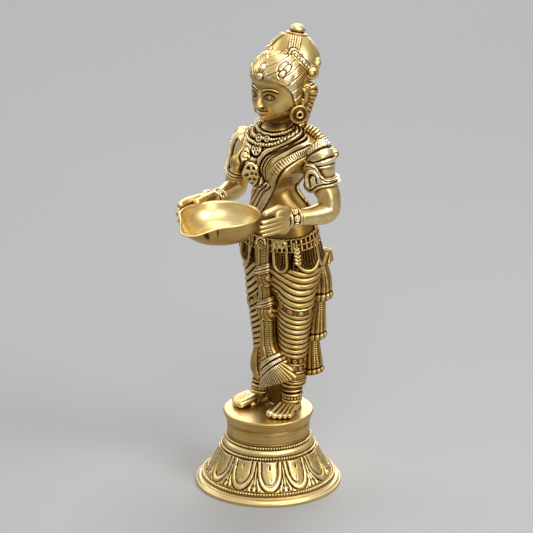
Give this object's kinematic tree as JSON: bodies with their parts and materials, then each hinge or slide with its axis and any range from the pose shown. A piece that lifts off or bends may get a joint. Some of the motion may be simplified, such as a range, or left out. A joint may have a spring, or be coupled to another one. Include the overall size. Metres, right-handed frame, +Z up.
{
  "type": "figural oil lamp",
  "caption": "Cast brass oil lamp: a standing figure in draped dress holds a lipped oil bowl, on a round plinth bolted to a hollow, flared lotus base.",
  "frame": {"origin": "on the floor, under the middle of the whole lamp's bounding box", "axes": "+Z up from the floor, -Y the way the figure faces, +X to the figure's left"},
  "size_m": [0.0944, 0.1315, 0.3017],
  "materials": {
    "antique_brass": "polished high spots over a dark brown patina in the recesses",
    "turned_brass": "turned and brushed, satin",
    "fastener_steel": "plain zinc-plated"
  },
  "bodies": {
    "base": {"lotus_base": "antique_brass"},
    "figure": {"plinth": "turned_brass", "hold_down_stud": "fastener_steel", "legs": "antique_brass", "front_sash": "antique_brass", "left_sash_tail": "antique_brass", "right_sash_tail": "antique_brass", "waist_girdle": "antique_brass", "waist_peg": "fastener_steel", "torso": "antique_brass", "shoulder_pegs": "fastener_steel", "neck_peg": "fastener_steel", "head": "antique_brass", "crown": "antique_brass", "left_earring": "antique_brass", "right_earring": "antique_brass", "left_arm": "antique_brass", "right_arm": "antique_brass", "lamp_bowl": "turned_brass", "bowl_rivets": "turned_brass"},
    "washer": {"hold_down_washer": "fastener_steel"},
    "nut": {"hold_down_nut": "fastener_steel"}
  },
  "joints": [
    {"name": "figure_turn", "type": "hinge", "parent": "base", "child": "figure", "pos_m": [0, 0.0185, 0.043], "axis": [0, 0, 1], "continuous": true},
    {"name": "washer_drop", "type": "slide", "parent": "figure", "child": "washer", "axis": [0, 0, -1], "range_m": [0, 0.01]},
    {"name": "nut_turn", "type": "hinge", "parent": "washer", "child": "nut", "pos_m": [0, 0.0185, 0.0355], "axis": [0, 0, -1], "range_deg": [0, 2880]}
  ],
  "couplings": [
    {"joint": "washer_drop", "follows": "nut_turn", "m_per_rad": 0.00019894}
  ]
}
